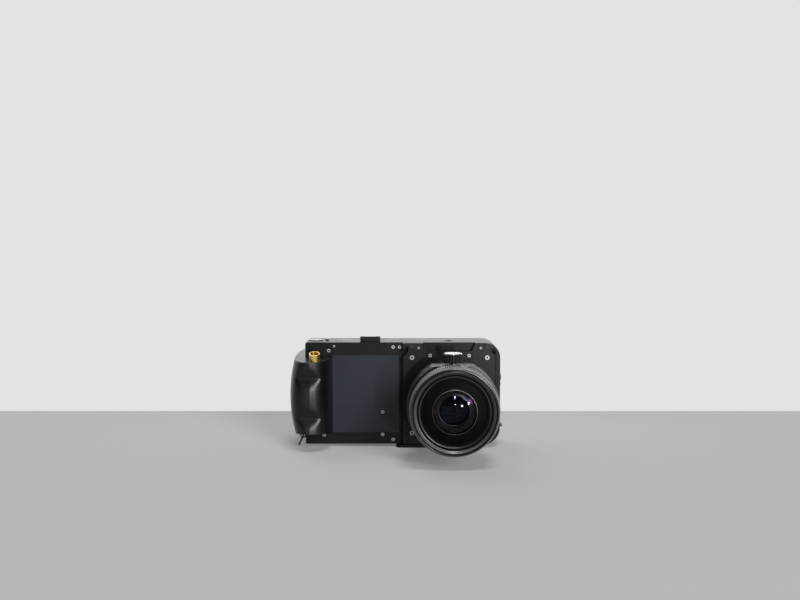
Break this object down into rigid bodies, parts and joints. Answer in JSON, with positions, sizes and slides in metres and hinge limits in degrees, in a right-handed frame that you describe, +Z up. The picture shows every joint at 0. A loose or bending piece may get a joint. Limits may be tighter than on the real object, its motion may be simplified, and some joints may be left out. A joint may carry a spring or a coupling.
{
  "type": "medium format film camera",
  "caption": "Flat-bodied roll film camera with a moulded side grip, a slate front panel and a wide shift lens on a screwed front plate.",
  "frame": {"origin": "mouth of the quarter inch tripod socket in the base plate, straight below the lens axis", "axes": "+X to the right as seen from in front of the camera, -Y the way the lens points, +Z up"},
  "size_m": [0.2294, 0.1553, 0.119],
  "materials": {
    "housing_black": "satin black anodised, bead blasted",
    "plate_black": "satin black anodised, milled",
    "slate_panel": "smooth slate anodised",
    "lens_black": "semi gloss black anodised",
    "grip_plastic": "satin moulded",
    "gold_metal": "polished",
    "button_black": "polished",
    "screw_steel": "turned",
    "spring_steel": "ground",
    "blade_steel": "blackened",
    "coated_glass": "coated",
    "vial_glass": "clear, tinted liquid",
    "rubber_black": "matte",
    "board_green": "glass fibre laminate",
    "battery_sleeve": "shrink sleeve",
    "knob_silver": "polished"
  },
  "bodies": {
    "camera": {"main_housing": "housing_black", "lens_plate": "plate_black", "lens_board": "plate_black", "front_panel": "slate_panel", "base_plate": "housing_black", "tripod_bush_quarter": "spring_steel", "tripod_bush_three_eighths": "spring_steel", "accessory_shoe": "plate_black", "level_bezel": "lens_black", "level_vial": "vial_glass", "plate_screws": "screw_steel", "upper_screws": "screw_steel", "small_screws": "screw_steel", "board_screws": "screw_steel", "body_screws": "screw_steel", "panel_screw": "screw_steel", "grip": "grip_plastic", "release_collar": "gold_metal", "strap_lug": "spring_steel", "right_lug": "lens_black", "film_gate": "lens_black", "film_motor": "spring_steel", "spool_pins": "spring_steel", "hinge_pin": "spring_steel", "battery_pack": "battery_sleeve", "circuit_board": "board_green", "lens_cone": "lens_black", "shift_housing": "lens_black"},
    "release_button": {"release_button": "button_black"},
    "power_switch": {"power_switch": "lens_black"},
    "speed_dial": {"speed_dial": "lens_black"},
    "rear_door": {"rear_door": "housing_black"},
    "pressure_plate": {"pressure_plate": "lens_black"},
    "door_button": {"door_button": "lens_black"},
    "take_up": {"take_up_spool": "grip_plastic", "drive_fork": "spring_steel"},
    "roller_left": {"film_roller_left": "spring_steel"},
    "roller_right": {"film_roller_right": "spring_steel"},
    "strap_ring": {"strap_ring": "spring_steel"},
    "shift_knob": {"shift_knob": "lens_black", "knob_cap": "knob_silver", "shift_screw": "spring_steel"},
    "shift_carriage": {"shift_carriage": "lens_black", "shutter_unit": "lens_black", "rear_mount": "lens_black", "rear_element": "coated_glass"},
    "aperture_ring": {"aperture_ring": "lens_black"},
    "focus_ring": {"focus_ring": "lens_black"},
    "lens_cell": {"helicoid_barrel": "lens_black", "front_ring": "lens_black", "retaining_ring": "lens_black", "front_element": "coated_glass", "inner_mount": "lens_black", "inner_element": "coated_glass"},
    "iris_blade_1": {"iris_blade_1": "blade_steel"},
    "iris_blade_2": {"iris_blade_2": "blade_steel"},
    "iris_blade_3": {"iris_blade_3": "blade_steel"},
    "iris_blade_4": {"iris_blade_4": "blade_steel"},
    "iris_blade_5": {"iris_blade_5": "blade_steel"},
    "iris_blade_6": {"iris_blade_6": "blade_steel"}
  },
  "joints": [
    {"name": "release_press", "type": "slide", "parent": "camera", "child": "release_button", "axis": [0, 0.2924, -0.9563], "range_m": [0, 0.0015], "stiffness_N_per_m": 400},
    {"name": "power_slide", "type": "slide", "parent": "camera", "child": "power_switch", "axis": [0, 1, 0], "range_m": [0, 0.003]},
    {"name": "speed_dial_turn", "type": "hinge", "parent": "camera", "child": "speed_dial", "pos_m": [-0.1455, -0.003, 0.1134], "axis": [0, 0, 1], "range_deg": [0, 300]},
    {"name": "door_hinge", "type": "hinge", "parent": "camera", "child": "rear_door", "pos_m": [-0.0572, 0.022, 0.057], "axis": [0, 0, 1], "range_deg": [0, 115]},
    {"name": "pressure_slide", "type": "slide", "parent": "rear_door", "child": "pressure_plate", "axis": [0, 1, 0], "range_m": [0, 0.0015], "stiffness_N_per_m": 400},
    {"name": "door_button_press", "type": "slide", "parent": "camera", "child": "door_button", "axis": [-1, 0, 0], "range_m": [0, 0.0015], "stiffness_N_per_m": 300},
    {"name": "take_up_turn", "type": "hinge", "parent": "camera", "child": "take_up", "pos_m": [-0.0385, -0.001, 0.057], "axis": [0, 0, 1], "continuous": true},
    {"name": "roller_left_turn", "type": "hinge", "parent": "camera", "child": "roller_left", "pos_m": [-0.0252, 0.0066, 0.057], "axis": [0, 0, 1], "continuous": true},
    {"name": "roller_right_turn", "type": "hinge", "parent": "camera", "child": "roller_right", "pos_m": [0.0252, 0.0066, 0.057], "axis": [0, 0, 1], "continuous": true},
    {"name": "ring_swing", "type": "hinge", "parent": "camera", "child": "strap_ring", "pos_m": [-0.1588, -0.016, 0.01027], "axis": [0, 1, 0], "range_deg": [-35, 60]},
    {"name": "shift_knob_turn", "type": "hinge", "parent": "camera", "child": "shift_knob", "pos_m": [0, -0.088, 0.1], "axis": [0, 0, 1], "range_deg": [-721, 721]},
    {"name": "shift_slide", "type": "slide", "parent": "camera", "child": "shift_carriage", "axis": [0, 0, 1], "range_m": [-0.008, 0.008]},
    {"name": "aperture_turn", "type": "hinge", "parent": "shift_carriage", "child": "aperture_ring", "pos_m": [0, -0.106, 0.057], "axis": [0, -1, 0], "range_deg": [0, 60]},
    {"name": "focus_turn", "type": "hinge", "parent": "shift_carriage", "child": "focus_ring", "pos_m": [0, -0.12, 0.057], "axis": [0, -1, 0], "range_deg": [0, 270]},
    {"name": "focus_slide", "type": "slide", "parent": "shift_carriage", "child": "lens_cell", "axis": [0, -1, 0], "range_m": [0, 0.00601]},
    {"name": "iris_1_turn", "type": "hinge", "parent": "shift_carriage", "child": "iris_blade_1", "pos_m": [0.024, -0.109, 0.057], "axis": [0, -1, 0], "range_deg": [0, 26.5]},
    {"name": "iris_2_turn", "type": "hinge", "parent": "shift_carriage", "child": "iris_blade_2", "pos_m": [0.012, -0.109, 0.07779], "axis": [0, -1, 0], "range_deg": [0, 26.5]},
    {"name": "iris_3_turn", "type": "hinge", "parent": "shift_carriage", "child": "iris_blade_3", "pos_m": [-0.012, -0.109, 0.07779], "axis": [0, -1, 0], "range_deg": [0, 26.5]},
    {"name": "iris_4_turn", "type": "hinge", "parent": "shift_carriage", "child": "iris_blade_4", "pos_m": [-0.024, -0.109, 0.057], "axis": [0, -1, 0], "range_deg": [0, 26.5]},
    {"name": "iris_5_turn", "type": "hinge", "parent": "shift_carriage", "child": "iris_blade_5", "pos_m": [-0.012, -0.109, 0.03621], "axis": [0, -1, 0], "range_deg": [0, 26.5]},
    {"name": "iris_6_turn", "type": "hinge", "parent": "shift_carriage", "child": "iris_blade_6", "pos_m": [0.012, -0.109, 0.03621], "axis": [0, -1, 0], "range_deg": [0, 26.5]}
  ],
  "couplings": [
    {"joint": "shift_knob_turn", "follows": "shift_slide", "rad_per_m": 1570.8},
    {"joint": "focus_slide", "follows": "focus_turn", "m_per_rad": 0.0012732},
    {"joint": "iris_1_turn", "follows": "aperture_turn", "ratio": 0.44},
    {"joint": "iris_2_turn", "follows": "aperture_turn", "ratio": 0.44},
    {"joint": "iris_3_turn", "follows": "aperture_turn", "ratio": 0.44},
    {"joint": "iris_4_turn", "follows": "aperture_turn", "ratio": 0.44},
    {"joint": "iris_5_turn", "follows": "aperture_turn", "ratio": 0.44},
    {"joint": "iris_6_turn", "follows": "aperture_turn", "ratio": 0.44}
  ]
}
